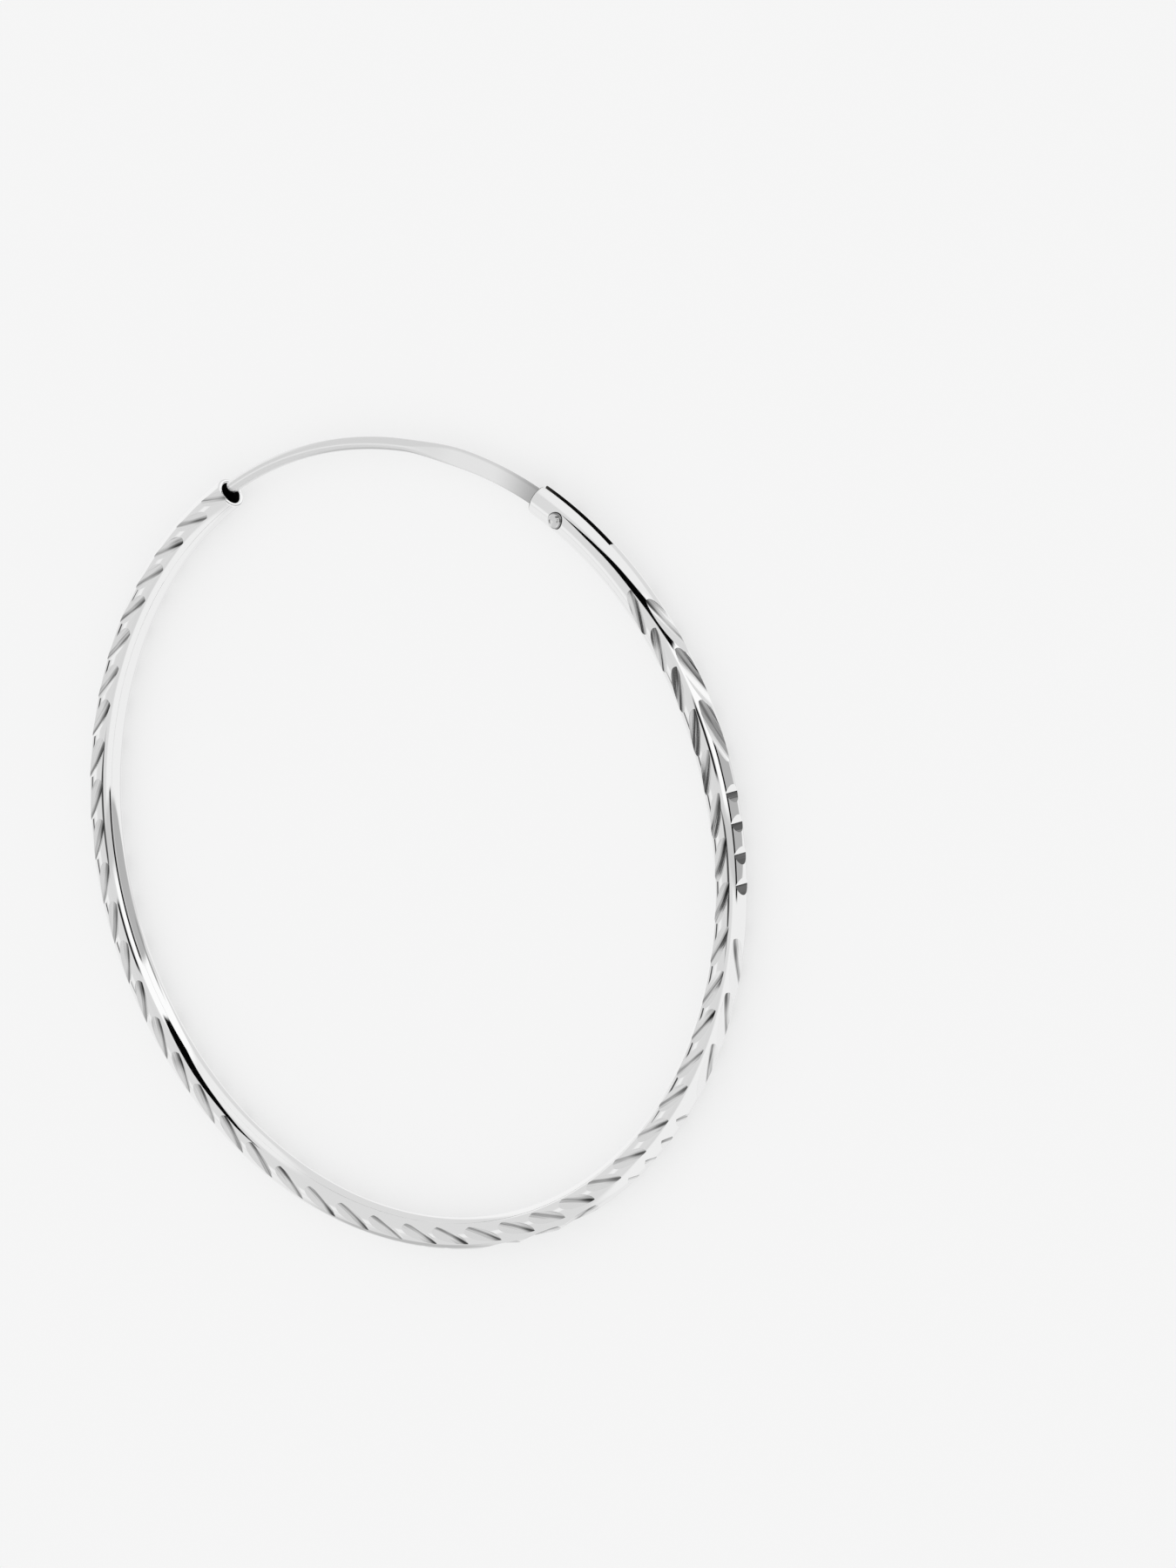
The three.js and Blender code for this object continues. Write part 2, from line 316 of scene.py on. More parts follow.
def cut_silver(name, deep, light, reach):
    """Sterling silver as the engraving wheel leaves it, with its shading painted into its colour. Fine
    marks run along each cut, in its tone and its bumps, and the cut is painted greyer than the polished
    tube.
    Painted shade darkens the bottom of its V and goes some way up the flank; towards its borders, at its
    reach from the bottom, the cut brightens. Towards one end, more in some cuts than in others, painted
    shade darkens the cut and lays an almost black streak along the V."""
    material, tree = new_material(name)
    flat = node(tree, "ShaderNodeUVMap", {"uv_map": "unrolled"}).outputs["UV"]
    mark_length, mark_spacing = 2.8, 0.12
    luck_change = 2.6  # from one cut to the next, in sizes of the noise behind the strength of the painted shade at each cut's end
    fade_start, fade_end = -0.3, 1.2  # from the middle of the cut towards its end with painted shade
    streak_start, streak_widest, streak_darkest = -0.4, 0.9, 1.0
    stretched = node(tree, "ShaderNodeMapping", inputs={
        "Vector": flat, "Scale": (1 / mark_length, 1 / mark_spacing, 1.0)})
    marks = node(tree, "ShaderNodeTexNoise", inputs={
        "Vector": stretched.outputs["Vector"], "Scale": 1.0, "Detail": 2.0})
    cut_by_cut = node(tree, "ShaderNodeMapping", inputs={
        "Vector": flat, "Scale": (luck_change / PASS_LENGTH, 0.0, 0.0)})
    luck = node(tree, "ShaderNodeTexNoise", inputs={
        "Vector": cut_by_cut.outputs["Vector"], "Scale": 1.0, "Detail": 0.0})
    end_shade_strength = node(tree, "ShaderNodeMapRange", inputs={
        "Value": luck.outputs["Fac"], "From Min": 0.38, "From Max": 0.6, "To Min": 0.1, "To Max": 1.0})
    parts = node(tree, "ShaderNodeSeparateXYZ", inputs={"Vector": flat}).outputs
    along = node(tree, "ShaderNodeMath", {"operation": "WRAP"}, {
        0: parts["X"], 1: PASS_LENGTH / 2, 2: -PASS_LENGTH / 2})
    off_bottom = node(tree, "ShaderNodeMath", {"operation": "ABSOLUTE"}, {0: parts["Y"]})
    to_border = node(tree, "ShaderNodeMapRange", {"interpolation_type": "SMOOTHSTEP"}, {
        "Value": off_bottom.outputs["Value"], "From Max": reach, "To Min": -0.55, "To Max": 0.4})
    to_end = node(tree, "ShaderNodeMapRange", {"interpolation_type": "SMOOTHSTEP"}, {
        "Value": along.outputs["Value"], "From Min": fade_start, "From Max": fade_end,
        "To Max": end_shade_strength.outputs["Result"]})
    brighter = node(tree, "ShaderNodeMath", {"operation": "MULTIPLY_ADD"}, {
        0: marks.outputs["Fac"], 1: 1.8, 2: to_border.outputs["Result"]})
    shade = node(tree, "ShaderNodeMath", {"operation": "MULTIPLY_ADD", "use_clamp": True}, {
        0: to_end.outputs["Result"], 1: -0.6, 2: brighter.outputs["Value"]})
    # Painted shade: from the deep tone at the bottom of the V and at the shaded end to the light tone at
    # the borders, broken up by the marks
    colour = node(tree, "ShaderNodeMix", {"data_type": "RGBA"}, {
        "Factor": shade.outputs["Value"], "A": linear(deep), "B": linear(light)})
    # Painted shade: an almost black streak along the bottom of the V, wider and darker towards the shaded
    # end
    streak_width = node(tree, "ShaderNodeMapRange", inputs={
        "Value": along.outputs["Value"], "From Min": streak_start, "From Max": streak_widest,
        "To Min": 0.05, "To Max": reach / 2})
    streak = node(tree, "ShaderNodeMapRange", {"interpolation_type": "SMOOTHSTEP"}, {
        "Value": off_bottom.outputs["Value"], "From Min": 0.01, "From Max": streak_width.outputs["Result"],
        "To Min": 1.0, "To Max": 0.0})
    streak_strength = node(tree, "ShaderNodeMapRange", {"interpolation_type": "SMOOTHSTEP"}, {
        "Value": along.outputs["Value"], "From Min": streak_start, "From Max": streak_darkest,
        "To Min": 0.1, "To Max": end_shade_strength.outputs["Result"]})
    streak_shade = node(tree, "ShaderNodeMath", {"operation": "MULTIPLY"}, {
        0: streak.outputs["Result"], 1: streak_strength.outputs["Result"]})
    with_streak = node(tree, "ShaderNodeMix", {"data_type": "RGBA"}, {
        "Factor": streak_shade.outputs["Value"], "A": colour.outputs["Result"], "B": linear("#262626")})
    bump = node(tree, "ShaderNodeBump", inputs={
        "Height": marks.outputs["Fac"], "Distance": 0.01 * MM, "Strength": 0.6})
    finish_with(tree, {
        "Base Color": with_streak.outputs["Result"], "Metallic": 1.0,
        "Roughness": 0.12, "Normal": bump.outputs["Normal"]})
    return material


def drawn_wire_silver():
    """Sterling silver wire, drawn through a die and only lightly polished: softer and greyer than the tube,
    and darker towards its hinge end, where its tab goes into the slot."""
    material, tree = new_material("drawn_silver_wire")
    flat = node(tree, "ShaderNodeUVMap", {"uv_map": "unrolled"}).outputs["UV"]
    mark_length, mark_spacing = 3.0, 0.15
    darkest_until, lightest_from = -1.0, 4.0  # from the hinge end
    stretched = node(tree, "ShaderNodeMapping", inputs={
        "Vector": flat, "Scale": (1 / mark_length, 1 / mark_spacing, 1.0)})
    drawing = node(tree, "ShaderNodeTexNoise", inputs={
        "Vector": stretched.outputs["Vector"], "Scale": 1.0, "Detail": 2.0})
    bump = node(tree, "ShaderNodeBump", inputs={
        "Height": drawing.outputs["Fac"], "Distance": 0.006 * MM, "Strength": 0.5})
    along = node(tree, "ShaderNodeSeparateXYZ", inputs={"Vector": flat}).outputs["X"]
    hinge_end = math.radians(HINGE_END) * HOOP_RADIUS
    lightening = node(tree, "ShaderNodeMapRange", {"interpolation_type": "SMOOTHSTEP"}, {
        "Value": along, "From Min": hinge_end + darkest_until, "From Max": hinge_end + lightest_from})
    colour = node(tree, "ShaderNodeMix", {"data_type": "RGBA"}, {
        "Factor": lightening.outputs["Result"], "A": linear("#A4A4A4"), "B": linear("#F4F4F4")})
    finish_with(tree, {
        "Base Color": colour.outputs["Result"], "Metallic": 1.0,
        "Roughness": 0.2, "Normal": bump.outputs["Normal"]})
    return material


def hammered_silver():
    """Sterling silver rivet wire, its ends hammered over and rubbed smooth: softly dimpled, and greyer than
    the polished tube. Painted shade darkens each head towards its rim, in the crease round its seat."""
    material, tree = new_material("hammered_silver_rivet")
    flat = node(tree, "ShaderNodeUVMap", {"uv_map": "unrolled"}).outputs["UV"]
    rim_start, rim_end = 0.8 * RIVET_HEAD_RADIUS, 0.98 * RIVET_HEAD_RADIUS
    from_axis = node(tree, "ShaderNodeSeparateXYZ", inputs={"Vector": flat}).outputs["X"]
    rim_shade = node(tree, "ShaderNodeMapRange", {"interpolation_type": "SMOOTHSTEP"}, {
        "Value": from_axis, "From Min": rim_start, "From Max": rim_end})
    # Painted shade: darker towards the head's rim, in the crease round the seat
    colour = node(tree, "ShaderNodeMix", {"data_type": "RGBA"}, {
        "Factor": rim_shade.outputs["Result"], "A": linear("#EAEAEA"), "B": linear("#8C8C8C")})
    dimple_size = 0.35 * MM
    place = node(tree, "ShaderNodeTexCoord").outputs["Object"]
    dimples = node(tree, "ShaderNodeTexNoise", inputs={
        "Vector": place, "Scale": 1 / dimple_size, "Detail": 1.0})
    bump = node(tree, "ShaderNodeBump", inputs={
        "Height": dimples.outputs["Fac"], "Distance": 0.02 * MM, "Strength": 0.5})
    finish_with(tree, {
        "Base Color": colour.outputs["Result"], "Metallic": 1.0,
        "Roughness": 0.16, "Normal": bump.outputs["Normal"]})
    return material


def unpolished_silver_painted_shade():
    """Sterling silver as drawn and sawn, in the bore and the slot, where no wheel reaches: dull, with
    stains.
    Its dark tones are painted shade, there and at the rivet's holes and seats and the hinge end's edges."""
    material, tree = new_material("unpolished_silver_painted_shade")
    place = node(tree, "ShaderNodeTexCoord").outputs["Object"]
    stain_size = 0.6 * MM
    stains = node(tree, "ShaderNodeTexNoise", inputs={
        "Vector": place, "Scale": 1 / stain_size, "Detail": 4.0})
    # Painted shade: the dark tones stand for the shade in the hollows; the noise between them is stains
    colour = node(tree, "ShaderNodeMix", {"data_type": "RGBA"}, {
        "Factor": stains.outputs["Fac"], "A": linear("#3A3836"), "B": linear("#5E5C59")})
    bump = node(tree, "ShaderNodeBump", inputs={
        "Height": stains.outputs["Fac"], "Distance": 0.01 * MM, "Strength": 0.4})
    finish_with(tree, {
        "Base Color": colour.outputs["Result"], "Metallic": 1.0,
        "Roughness": 0.45, "Normal": bump.outputs["Normal"]})
    return material


POLISHED, LIGHT_SHADE_CUT, MID_SHADE_CUT, DARK_SHADE_NOTCH, UNPOLISHED_SHADED, WIRE, RIVET = range(7)
# The three cut finishes are one material with painted shade in three strengths, light, mid and dark; a
# cut's two flanks take different ones, and the first group's notches the dark one
finishes = [
    polished_silver(),
    cut_silver("cut_silver_light_shade", "#A2A2A2", "#FAFAFA", 0.2),
    cut_silver("cut_silver_mid_shade", "#868686", "#F6F6F6", 0.36),
    cut_silver("notch_silver_dark_shade", "#565656", "#989898", 0.2),
    unpolished_silver_painted_shade(),
    drawn_wire_silver(),
    hammered_silver(),
]
FLANKS = (LIGHT_SHADE_CUT, MID_SHADE_CUT)


# The engraved tube

hand = np.random.default_rng(5)  # the engraver's hand


def tube_blank():
    """The plain hollow tube, with slightly rounded ends."""
    steps, sides, edge_steps = 300, 72, 4
    edge = END_ROUNDING
    turns = np.linspace(0, math.pi / 2, edge_steps + 1)
    run = degrees_of(edge)
    # Stations along one line round the tube's wall: place round the hoop, radius, and lean of the normal
    stations = []
    for degrees in np.linspace(HINGE_END - run, MOUTH + run, steps + 1):
        stations.append((degrees, TUBE_RADIUS, 0.0, 1.0))
    for turn in turns[1:]:
        stations.append((MOUTH + run - run * math.sin(turn), TUBE_RADIUS - edge + edge * math.cos(turn),
                         math.sin(turn), math.cos(turn)))
    for turn in turns:
        stations.append((MOUTH + run - run * math.cos(turn), BORE_RADIUS + edge - edge * math.sin(turn),
                         math.cos(turn), -math.sin(turn)))
    outside = len(stations)
    for degrees in np.linspace(MOUTH + run, HINGE_END - run, steps // 2 + 1)[1:]:
        stations.append((degrees, BORE_RADIUS, 0.0, -1.0))
    inside = len(stations)
    for turn in turns[1:]:
        stations.append((HINGE_END - run + run * math.sin(turn), BORE_RADIUS + edge - edge * math.cos(turn),
                         -math.sin(turn), -math.cos(turn)))
    for turn in turns[:-1]:
        stations.append((HINGE_END - run + run * math.cos(turn), TUBE_RADIUS - edge + edge * math.sin(turn),
                         -math.cos(turn), math.sin(turn)))
    stations.append(stations[0])
    degrees, radius, lean, lift = np.array(stations).T[:, :, None]
    around = np.linspace(0, 360, sides + 1)[None, :]
    degrees = degrees + 0 * around
    around = around + 0 * degrees
    points = on_tube(degrees, around, radius[..., None])
    onwards = np.cross(np.array([0, 0, -1.0]), radial(degrees))
    normals = tube_normal(degrees, around) * lift[..., None] + onwards * lean[..., None]
    flat = np.stack([np.radians(degrees) * HOOP_RADIUS, np.radians(around) * TUBE_RADIUS], axis=-1)
    skin = Skin()
    bore_end = inside + edge_steps
    # The bore with the hinge end's inner edge, and the hinge end's outer edge, are painted dark as shade
    for low, high, finish in (
        (0, outside, POLISHED),
        (outside - 1, bore_end, UNPOLISHED_SHADED),
        (bore_end - 1, bore_end + 1, POLISHED),
        (bore_end, len(stations) - 1, UNPOLISHED_SHADED),  # the hinge end's outer edge, painted dark as shade where the tab goes in
        (len(stations) - 2, len(stations), POLISHED),
    ):
        skin.grid(points[low:high], normals[low:high], flat[low:high], finish)
    return skin


def groove(start, end, out, tilts, wheel, flanks):
    """What one pass of the cutting wheel takes out, from one point on the tube to another. Its left and
    right flanks rise from its bottom by their own tilts, and both are slightly hollow. No two cuts are
    alike."""
    lean = hand.uniform(-HAND_TILT, HAND_TILT)
    tilts = (tilts[0] + lean, tilts[1] - lean)
    pass_place = hand.integers(1, 200) * PASS_LENGTH
    along = end - start
    length = np.linalg.norm(along)
    along = along / length
    shaded_end = 1 if along @ radial(np.array(SHADED_ENDS_TOWARDS)) > 0 else -1
    up = out - along * (out @ along)
    up = up / np.linalg.norm(up)
    across = np.cross(up, along)
    middle = (start + end) / 2
    reach, overrun, top = 1.3, 1.0, 1.5
    places_along, places_up = 17, 12
    s = np.linspace(-length / 2 - overrun, length / 2 + overrun, places_along)[:, None]
    bottom = (s ** 2 - (length / 2) ** 2) / (2 * wheel)
    x = np.linspace(0, reach, places_up)[None, :]
    skin = Skin()
    edges = []
    for side, tilt, finish in zip((-1, 1), tilts, flanks):
        slope = math.tan(math.radians(tilt)) - FLANK_WIDTH / 2 / FLANK_HOLLOW + x / FLANK_HOLLOW
        height = bottom + x * (slope - x / FLANK_HOLLOW / 2)
        points = middle + s[..., None] * along + (side * x)[..., None] * across + height[..., None] * up
        normals = up - (s / wheel)[..., None] * along - (side * slope)[..., None] * across
        normals = normals / np.linalg.norm(normals, axis=-1, keepdims=True)
        flat = np.stack([s * shaded_end + pass_place + 0 * x, side * x + 0 * s], axis=-1)
        if side < 0:
            points, normals, flat = (a[:, ::-1] for a in (points, normals, flat))
        skin.grid(points, normals, flat, finish)
        edges.append(points)
    low = np.concatenate([edges[0], edges[1][:, 1:]], axis=1)
    roof = np.stack([edges[1][:, -1], edges[0][:, 0]], axis=1)
    roof = roof + (top - ((roof - middle) @ up))[..., None] * up
    loop = np.concatenate([low[:, -1:], roof, low[:, :1]], axis=1)
    skin.grid(loop, np.broadcast_to(up, loop.shape), loop[..., :2], MID_SHADE_CUT)
    ends = np.concatenate([low, roof], axis=1)
    skin.cap(ends[0], -along, MID_SHADE_CUT)
    skin.cap(ends[-1][::-1], along, MID_SHADE_CUT)
    return skin


def side_engraving(side):
    """The cuts on the upper side of the hoop, 1, or their mirror images on the lower side, -1."""
    first, pitch, half_length, half_span, (broad, steep), wheel = SIDE_CUTS.values()
    cuts = []
    for index in range(math.ceil((first - MOUTH) / pitch)):
        centre = first - index * pitch + hand.uniform(-HAND_SLIP, HAND_SLIP)
        outer = on_tube(np.array(centre + half_length), (90 - half_span) * side)
        inner = on_tube(np.array(centre - half_length), (90 + half_span) * side)
        upwards = np.array([0, 0, float(side)])
        cuts.append(groove(outer, inner, upwards, (steep, broad)[::side], wheel, FLANKS[::side]))
    return cuts


def rim_engraving():
    """Groups of slanted cuts and straight notches, in turn, up to the mouth."""
    cuts = []
    for group in range(math.ceil((RIM_GROUPS["first"] - MOUTH) / RIM_GROUPS["pitch"])):
        group_start = RIM_GROUPS["first"] - group * RIM_GROUPS["pitch"]
        # Painted shade: the first group's notches take the darkest cut finish, the later groups' the mid
        # one
        notch_flanks = (MID_SHADE_CUT if group else DARK_SHADE_NOTCH, POLISHED)
        for cut, flanks in ((RIM_CUTS, FLANKS), (RIM_NOTCHES, notch_flanks)):
            count, start, pitch, half_length, half_span, tilts, wheel = cut.values()
            for index in range(count):
                centre = group_start - start - index * pitch
                if centre > MOUTH:
                    upper = on_tube(np.array(centre + half_length), half_span)
                    lower = on_tube(np.array(centre - half_length), -half_span)
                    cuts.append(groove(upper, lower, radial(np.array(centre)), tilts, wheel, flanks))
    return cuts


def post(radius, low, high, finish):
    """An upright cylinder round the rivet's axis."""
    sides = 48
    turn = np.linspace(0, 2 * math.pi, sides + 1)
    out = np.stack([np.cos(turn), np.sin(turn), 0 * turn], axis=-1)
    rings = np.stack([RIVET_PLACE + out * radius + np.array([0, 0, z]) for z in (high, low)])
    skin = Skin()
    flat = np.stack([turn * radius + 0 * rings[..., 2], rings[..., 2]], axis=-1)
    skin.grid(rings, np.stack([-out, -out]), flat, finish)
    skin.cap(rings[0][:-1], np.array([0, 0, -1.0]), finish)
    skin.cap(rings[1][:-1][::-1], np.array([0, 0, 1.0]), finish)
    return skin


def slot_cutter():
    """The slot for the ear wire's tab, sawn into the outer side of the tube from its hinge end."""
    inner_end = radial(np.array(SLOT_END)) * HOOP_RADIUS
    onwards = radial(np.array(HINGE_END)) * HOOP_RADIUS - inner_end
    length = np.linalg.norm(onwards) + TUBE_RADIUS
    onwards = onwards / np.linalg.norm(onwards)
    inwards = np.cross(np.array([0, 0, 1.0]), onwards)
    up = np.array([0, 0, 1.0])
    half = TAB_THICKNESS / 2 + TAB_SIDE_GAP
    corner = {
        (a, b, c): inner_end + onwards * a * length + inwards * b * -2 * TUBE_RADIUS + up * c * half
        for a in (0, 1) for b in (0, 1) for c in (-1, 1)
    }
    skin = Skin()
    for keys, normal in (
        (((0, 0, 1), (0, 1, 1), (1, 1, 1), (1, 0, 1)), up),
        (((0, 0, -1), (1, 0, -1), (1, 1, -1), (0, 1, -1)), -up),
        (((0, 0, -1), (0, 1, -1), (0, 1, 1), (0, 0, 1)), -onwards),
        (((1, 0, -1), (1, 0, 1), (1, 1, 1), (1, 1, -1)), onwards),
        (((0, 0, -1), (0, 0, 1), (1, 0, 1), (1, 0, -1)), inwards),
        (((0, 1, -1), (1, 1, -1), (1, 1, 1), (0, 1, 1)), -inwards),
    ):
        # The slot's walls are painted dark as the shade inside it
        skin.cap([corner[key] for key in keys], -normal, UNPOLISHED_SHADED)
    return skin


def seat_height(radius):
    """The height at which a round seat of a radius just breaks out at the tube's sides."""
    return math.sqrt(TUBE_RADIUS ** 2 - radius ** 2)


def hoop_tube():
    """The tube, slotted and drilled for its hinge, and engraved."""
    far = 2 * TUBE_RADIUS
    seat = RIVET_HEAD_RADIUS + RIVET_GAP
    cutters = [
        slot_cutter(),
        # The pin hole and the seats round the rivet's heads are painted dark as shade
        post(RIVET_PIN_RADIUS + RIVET_GAP, -far, far, UNPOLISHED_SHADED),
        post(seat, seat_height(seat), far, UNPOLISHED_SHADED),
        post(seat, -far, -seat_height(seat), UNPOLISHED_SHADED),
        *side_engraving(1),
        *side_engraving(-1),
        *rim_engraving(),
    ]
    mesh = cut_away(tube_blank(), cutters, finishes)
    return place_piece("engraved_tube", mesh, "hoop", "engraved_silver", "hoop_tube")


def rivet():
    """The rivet, turned in one profile: a pin with a low domed head at each end."""
    sides, dome_steps = 64, 12
    seat = seat_height(RIVET_HEAD_RADIUS + RIVET_GAP) + RIVET_GAP
    profile = [(RIVET_PIN_RADIUS, 0.0, 1.0, 0.0), (RIVET_PIN_RADIUS, seat, 1.0, 0.0)]
    profile += [(RIVET_PIN_RADIUS, seat, 0.0, -1.0), (RIVET_HEAD_RADIUS, seat, 0.0, -1.0)]
    profile += [(RIVET_HEAD_RADIUS, seat, 1.0, 0.0)]
    for turn in np.linspace(0, math.pi / 2, dome_steps + 1):
        out, rise = math.cos(turn), math.sin(turn)
        lean = math.hypot(out / RIVET_HEAD_RADIUS, rise / RIVET_HEAD_PROUD)
        profile.append((RIVET_HEAD_RADIUS * out, TUBE_RADIUS + RIVET_HEAD_PROUD * rise,
                        out / RIVET_HEAD_RADIUS / lean, rise / RIVET_HEAD_PROUD / lean))
    profile = [(r, -z, nr, -nz) for r, z, nr, nz in profile[:0:-1]] + profile
    turn = np.linspace(0, 2 * math.pi, sides + 1)
    out = np.stack([np.cos(turn), np.sin(turn), 0 * turn], axis=-1)
    up = np.array([0, 0, 1.0])
    points = np.stack([RIVET_PLACE + out * r + up * z for r, z, _, _ in profile])
    normals = np.stack([out * nr + up * nz for _, _, nr, nz in profile])
    from_axis = np.array([[r] for r, _, _, _ in profile])
    flat = np.stack([from_axis + 0 * turn, points[..., 2]], axis=-1)
    skin = Skin()
    skin.grid(points, normals, flat, RIVET)
    mesh = skin.mesh("rivet", finishes)
    return place_piece("rivet", mesh, "hoop", "plain_silver", "hinge_rivet")


def smoothstep(value, low, high):
    """0 below low, 1 above high, and a smooth rise between them."""
    t = np.clip((value - low) / (high - low), 0, 1)
    return t * t * (3 - 2 * t)


def ear_wire():
    """The ear wire: round at its tip, hammered into a flat tab at its hinge, with an eye for the rivet."""
    sides, steps, end_steps = 48, 140, 13
    first_turn = 0.06  # of the quarter circle that rounds each end, past the small flat at its point
    eye_radius = BORE_RADIUS - TAB_EDGE_GAP
    tip = MOUTH + 360 + degrees_of(TIP_ENGAGEMENT)
    eye_start = RIVET_ANGLE - degrees_of(eye_radius)
    tip_start = tip - degrees_of(WIRE_RADIUS)
    shares = 1 - np.cos(np.linspace(first_turn, math.pi / 2, end_steps + 1))
    degrees = np.concatenate([
        eye_start + degrees_of(1) * eye_radius * shares,
        np.linspace(RIVET_ANGLE, tip_start, steps + 1)[1:-1],
        (tip - degrees_of(1) * WIRE_RADIUS * shares)[::-1],
    ])[:, None]
    end = np.ones_like(degrees)
    count = len(shares)
    end[:count, 0] = np.sqrt(1 - (1 - shares) ** 2)
    end[-count:, 0] = end[:count, 0][::-1]
    becomes_round = smoothstep(degrees, TAB_END, ROUND_WIRE)
    half_tab = TAB_THICKNESS / 2
    half_width = (eye_radius + (WIRE_RADIUS - eye_radius) * becomes_round) * end
    at_tip = degrees > tip_start
    half_thickness = (half_tab + (WIRE_RADIUS - half_tab) * becomes_round) * np.where(at_tip, end, 1)
    squareness = 4 - 3 * np.sqrt(becomes_round)
    angle = np.linspace(0, 2 * math.pi, sides + 1)[None, :]

    def rounded(value):
        value = value.round(9)  # so that the wire closes exactly, a full turn round
        return np.sign(value) * np.abs(value) ** (1 / squareness)

    offset = TIP_OFFSET * smoothstep(degrees, TAB_END, tip)
    out = HOOP_RADIUS + offset + half_width * rounded(np.cos(angle))
    points = radial(degrees + 0 * angle) * out[..., None]
    points[..., 2] = half_thickness * rounded(np.sin(angle))
    lengthwise = np.gradient(points, axis=0)
    wrapped = np.concatenate([points[:, -2:-1], points, points[:, 1:2]], axis=1)
    crosswise = wrapped[:, 2:] - wrapped[:, :-2]
    normals = np.cross(lengthwise, crosswise)
    normals /= np.linalg.norm(normals, axis=-1, keepdims=True)
    from_start = np.radians(degrees) * HOOP_RADIUS
    flat = np.stack([from_start + 0 * angle, angle * WIRE_RADIUS + 0 * degrees], axis=-1)
    skin = Skin()
    skin.grid(points, normals, flat, WIRE)
    onwards = np.cross(np.array([0, 0, 1.0]), radial(degrees[[0, -1], 0]))
    skin.cap(points[0][:-1], -onwards[0], WIRE)
    skin.cap(points[-1][:-1][::-1], onwards[1], WIRE)
    # The eye's wall is painted dark as shade
    eye = post(RIVET_PIN_RADIUS + RIVET_GAP, -TAB_THICKNESS, TAB_THICKNESS, UNPOLISHED_SHADED)
    mesh = cut_away(skin, [eye], finishes)
    return place_piece("hinged_ear_wire", mesh, "wire", "plain_silver", "ear_wire")


# The studio


def studio_floor():
    """A broad white board under the earring, lit evenly from below, so that shadows on it stay faint."""
    material, tree = new_material("white_board_lit_from_below")
    place = node(tree, "ShaderNodeTexCoord").outputs["Object"]
    grain_size = 0.4 * MM
    grain = node(tree, "ShaderNodeTexNoise", inputs={
        "Vector": place, "Scale": 1 / grain_size, "Detail": 2.0})
    bump = node(tree, "ShaderNodeBump", inputs={
        "Height": grain.outputs["Fac"], "Distance": 0.005 * MM, "Strength": 0.2})
    finish_with(tree, {
        "Base Color": linear("#9B9B9B"), "Roughness": 1.0, "Specular IOR Level": 0.0,
        "Emission Color": linear("#F4F4F4"), "Emission Strength": 0.665,
        "Normal": bump.outputs["Normal"]})
    half = 4.0  # metres, so that no edge of it comes into view
    mesh = bpy.data.meshes.new("studio_floor")
    corners = [(-half, -half, 0), (half, -half, 0), (half, half, 0), (-half, half, 0)]
    mesh.from_pydata(corners, [], [(0, 1, 2, 3)])
    mesh.materials.append(material)
    board = bpy.data.objects.new("studio_floor", mesh)
    bpy.context.scene.collection.objects.link(board)
    board.visible_glossy = False


def direction(azimuth, elevation):
    """A direction from the earring into the studio, from angles in degrees."""
    a, e = math.radians(azimuth), math.radians(elevation)
    return Vector((math.cos(a) * math.cos(e), math.sin(a) * math.cos(e), math.sin(e)))


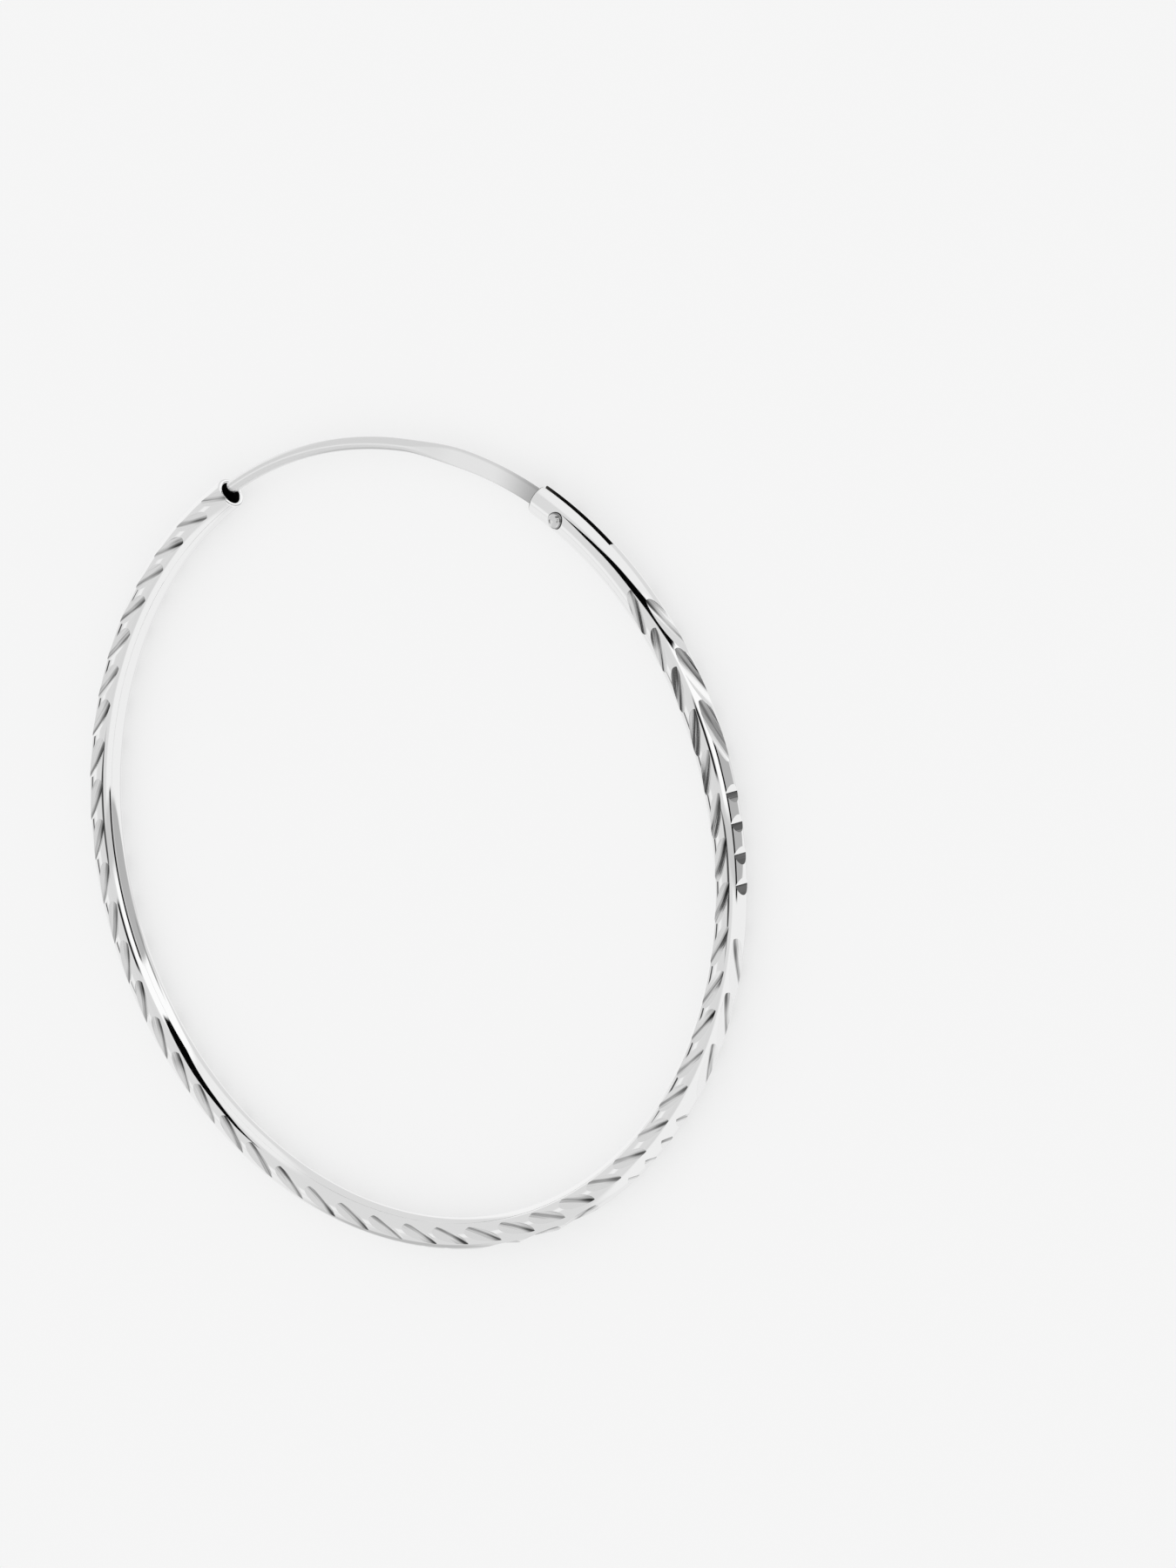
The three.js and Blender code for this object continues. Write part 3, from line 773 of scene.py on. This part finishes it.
# The studio round the earring, as its silver reflects it: screens from one azimuth and elevation to
# another, in degrees, with a soft edge and a tone. A later screen hangs in front of an earlier one.
SCREENS = [
    {"name": "ceiling", "azimuth": (-130, 95), "elevation": (56, 95), "edge": 14, "tone": "#DADADA"},
    {"name": "top light", "azimuth": (-176, -147), "elevation": (41, 61), "edge": 12, "tone": "#F0F0F0"},
    {"name": "left wall", "azimuth": (-93, -11), "elevation": (-90, 40), "edge": 9, "tone": "#F0F0F0"},
    {"name": "left floor", "azimuth": (-127, -90), "elevation": (-90, -20), "edge": 12, "tone": "#EBEBEB"},
    {"name": "left corner", "azimuth": (-137, -117), "elevation": (-25, 7), "edge": 8, "tone": "#BCBCBC"},
    {"name": "back gap", "azimuth": (-163, -140), "elevation": (-60, 38), "edge": 8, "tone": "#EDEDED"},
    {"name": "back floor", "azimuth": (150, 181), "elevation": (-90, 8), "edge": 8, "tone": "#F5F5F5"},
    {"name": "back floor, left", "azimuth": (-181, -163), "elevation": (-90, -2),
     "edge": 8, "tone": "#F5F5F5"},
    {"name": "back shade", "azimuth": (-182, -158), "elevation": (16, 29), "edge": 5, "tone": "#484848"},
    {"name": "right wall", "azimuth": (58, 97), "elevation": (-40, 30), "edge": 12, "tone": "#EFEFEF"},
    {"name": "upper shade", "azimuth": (-12, 4), "elevation": (15, 60), "edge": 6, "tone": "#CACACA"},
    {"name": "high shade", "azimuth": (-48, -2), "elevation": (60, 72), "edge": 6, "tone": "#444444"},
    {"name": "window", "azimuth": (6, 50), "elevation": (15, 43), "edge": 7, "tone": "#FFFFFF"},
    {"name": "low window", "azimuth": (30, 59), "elevation": (-43, 20), "edge": 5, "tone": "#FFFFFF"},
    {"name": "low window, foot", "azimuth": (45, 61), "elevation": (-70, -40),
     "edge": 5, "tone": "#FFFFFF"},
    {"name": "low shade", "azimuth": (-11, 30), "elevation": (-70, 14), "edge": 3, "tone": "#B3B3B3"},
    {"name": "camera", "azimuth": (13, 36), "elevation": (47, 61), "edge": 4, "tone": "#101010"},
    {"name": "side shade", "azimuth": (-98, -48), "elevation": (38, 57), "edge": 8, "tone": "#D8D8D8"},
    {"name": "notch shade", "azimuth": (20, 41), "elevation": (-58, -44), "edge": 5, "tone": "#9C9C9C"},
    {"name": "black strip", "azimuth": (-14, 30), "elevation": (7, 18), "edge": 2, "tone": "#040404"},
]
STUDIO_TONE = "#DCDCDC"
# A black band rises from the strip's end along an arc through these places, given as azimuth and elevation
BAND_PLACES = ((48, 9), (64, 36), (95, 51))
BAND_AZIMUTHS = (46, 100)
BAND_NARROWS = (74, 90)
BAND_HALF_WIDTHS = (9.0, 5.0)  # before and after it narrows
BAND_EDGE = 0.006
BAND_TONE = "#040404"
BACKDROP_TONE = "#F4F4F4"
DOME_BRIGHTNESS = 1.0


def studio_world():
    """The studio's screens and black band, as the silver reflects them. The floor is lit by one even dome,
    and past the floor's edge the camera sees a backdrop of the floor's own tone."""
    world = bpy.data.worlds.new("studio")
    world.use_nodes = True
    tree = world.node_tree
    tree.nodes.clear()
    bpy.context.scene.world = world
    towards = node(tree, "ShaderNodeTexCoord").outputs["Generated"]
    parts = node(tree, "ShaderNodeSeparateXYZ", inputs={"Vector": towards}).outputs
    azimuth = node(tree, "ShaderNodeMath", {"operation": "ARCTAN2"}, {
        0: parts["Y"], 1: parts["X"]}).outputs["Value"]
    elevation = node(tree, "ShaderNodeMath", {"operation": "ARCSINE"}, {
        0: parts["Z"]}).outputs["Value"]

    def within(value, span, edge):
        """1 where an angle is inside a span, falling softly to 0 outside it."""
        low, high, soft = (math.radians(v) for v in (*span, edge / 2))
        middle, half = (low + high) / 2, (high - low) / 2
        off = node(tree, "ShaderNodeMath", {"operation": "SUBTRACT"}, {0: value, 1: middle})
        away = node(tree, "ShaderNodeMath", {"operation": "ABSOLUTE"}, {0: off.outputs["Value"]})
        return node(tree, "ShaderNodeMapRange", {"interpolation_type": "SMOOTHSTEP"}, {
            "Value": away.outputs["Value"],
            "From Min": half + soft, "From Max": half - soft}).outputs["Result"]

    layers = []
    for screen in SCREENS:
        shown = node(tree, "ShaderNodeMath", {"operation": "MULTIPLY"}, {
            0: within(azimuth, screen["azimuth"], screen["edge"]),
            1: within(elevation, screen["elevation"], screen["edge"])})
        layers.append((shown.outputs["Value"], linear(screen["tone"])))

    first, second, third = (direction(*place) for place in BAND_PLACES)
    axis = (second - first).cross(third - first).normalized()
    sine = math.sqrt(1 - axis.dot(first) ** 2)
    along_axis = node(tree, "ShaderNodeVectorMath", {"operation": "DOT_PRODUCT"}, {0: towards, 1: axis})
    off_band = node(tree, "ShaderNodeMath", {"operation": "SUBTRACT"}, {
        0: along_axis.outputs["Value"], 1: axis.dot(first)})
    from_band = node(tree, "ShaderNodeMath", {"operation": "ABSOLUTE"}, {0: off_band.outputs["Value"]})
    wide, narrow = (math.radians(half) * sine for half in BAND_HALF_WIDTHS)
    half_width = node(tree, "ShaderNodeMapRange", inputs={
        "Value": azimuth,
        "From Min": math.radians(BAND_NARROWS[0]), "From Max": math.radians(BAND_NARROWS[1]),
        "To Min": wide, "To Max": narrow})
    inside = node(tree, "ShaderNodeMath", {"operation": "SUBTRACT"}, {
        0: half_width.outputs["Result"], 1: from_band.outputs["Value"]})
    sharp = node(tree, "ShaderNodeMapRange", inputs={
        "Value": inside.outputs["Value"], "From Min": -BAND_EDGE, "From Max": BAND_EDGE})
    on_band = node(tree, "ShaderNodeMath", {"operation": "MULTIPLY"}, {
        0: sharp.outputs["Result"], 1: within(azimuth, BAND_AZIMUTHS, 2)})
    above_strip = node(tree, "ShaderNodeMath", {"operation": "GREATER_THAN"}, {0: elevation, 1: 0.0})
    on_band = node(tree, "ShaderNodeMath", {"operation": "MULTIPLY"}, {
        0: on_band.outputs["Value"], 1: above_strip.outputs["Value"]})
    layers.append((on_band.outputs["Value"], linear(BAND_TONE)))

    path = node(tree, "ShaderNodeLightPath").outputs
    layers.append((path["Is Diffuse Ray"], (DOME_BRIGHTNESS,) * 3 + (1.0,)))
    layers.append((path["Is Camera Ray"], linear(BACKDROP_TONE)))
    colour = linear(STUDIO_TONE)
    for shown, tone in layers:
        colour = node(tree, "ShaderNodeMix", {"data_type": "RGBA"}, {
            "Factor": shown, "A": colour, "B": tone}).outputs["Result"]
    background = node(tree, "ShaderNodeBackground", inputs={"Color": colour, "Strength": 1.0})
    node(tree, "ShaderNodeOutputWorld", inputs={"Surface": background.outputs["Background"]})


def camera():
    """The camera, at the photograph's angle to the hoop and with its framing."""
    data = bpy.data.cameras.new("camera")
    data.lens = CAMERA_LENS
    data.sensor_width = SENSOR_WIDTH
    data.clip_start = 0.01
    shot = bpy.data.objects.new("camera", data)
    turn = Matrix((CAMERA_RIGHT, CAMERA_UP, CAMERA_BACK)).transposed().to_4x4()
    shot.matrix_world = Matrix.Translation(HOOP_CENTRE + Vector(CAMERA_FROM_CENTRE)) @ turn
    bpy.context.scene.collection.objects.link(shot)
    bpy.context.scene.camera = shot


camera()
studio_floor()
studio_world()
bpy.context.scene.view_settings.view_transform = "Standard"
hoop_tube()
rivet()
ear_wire()
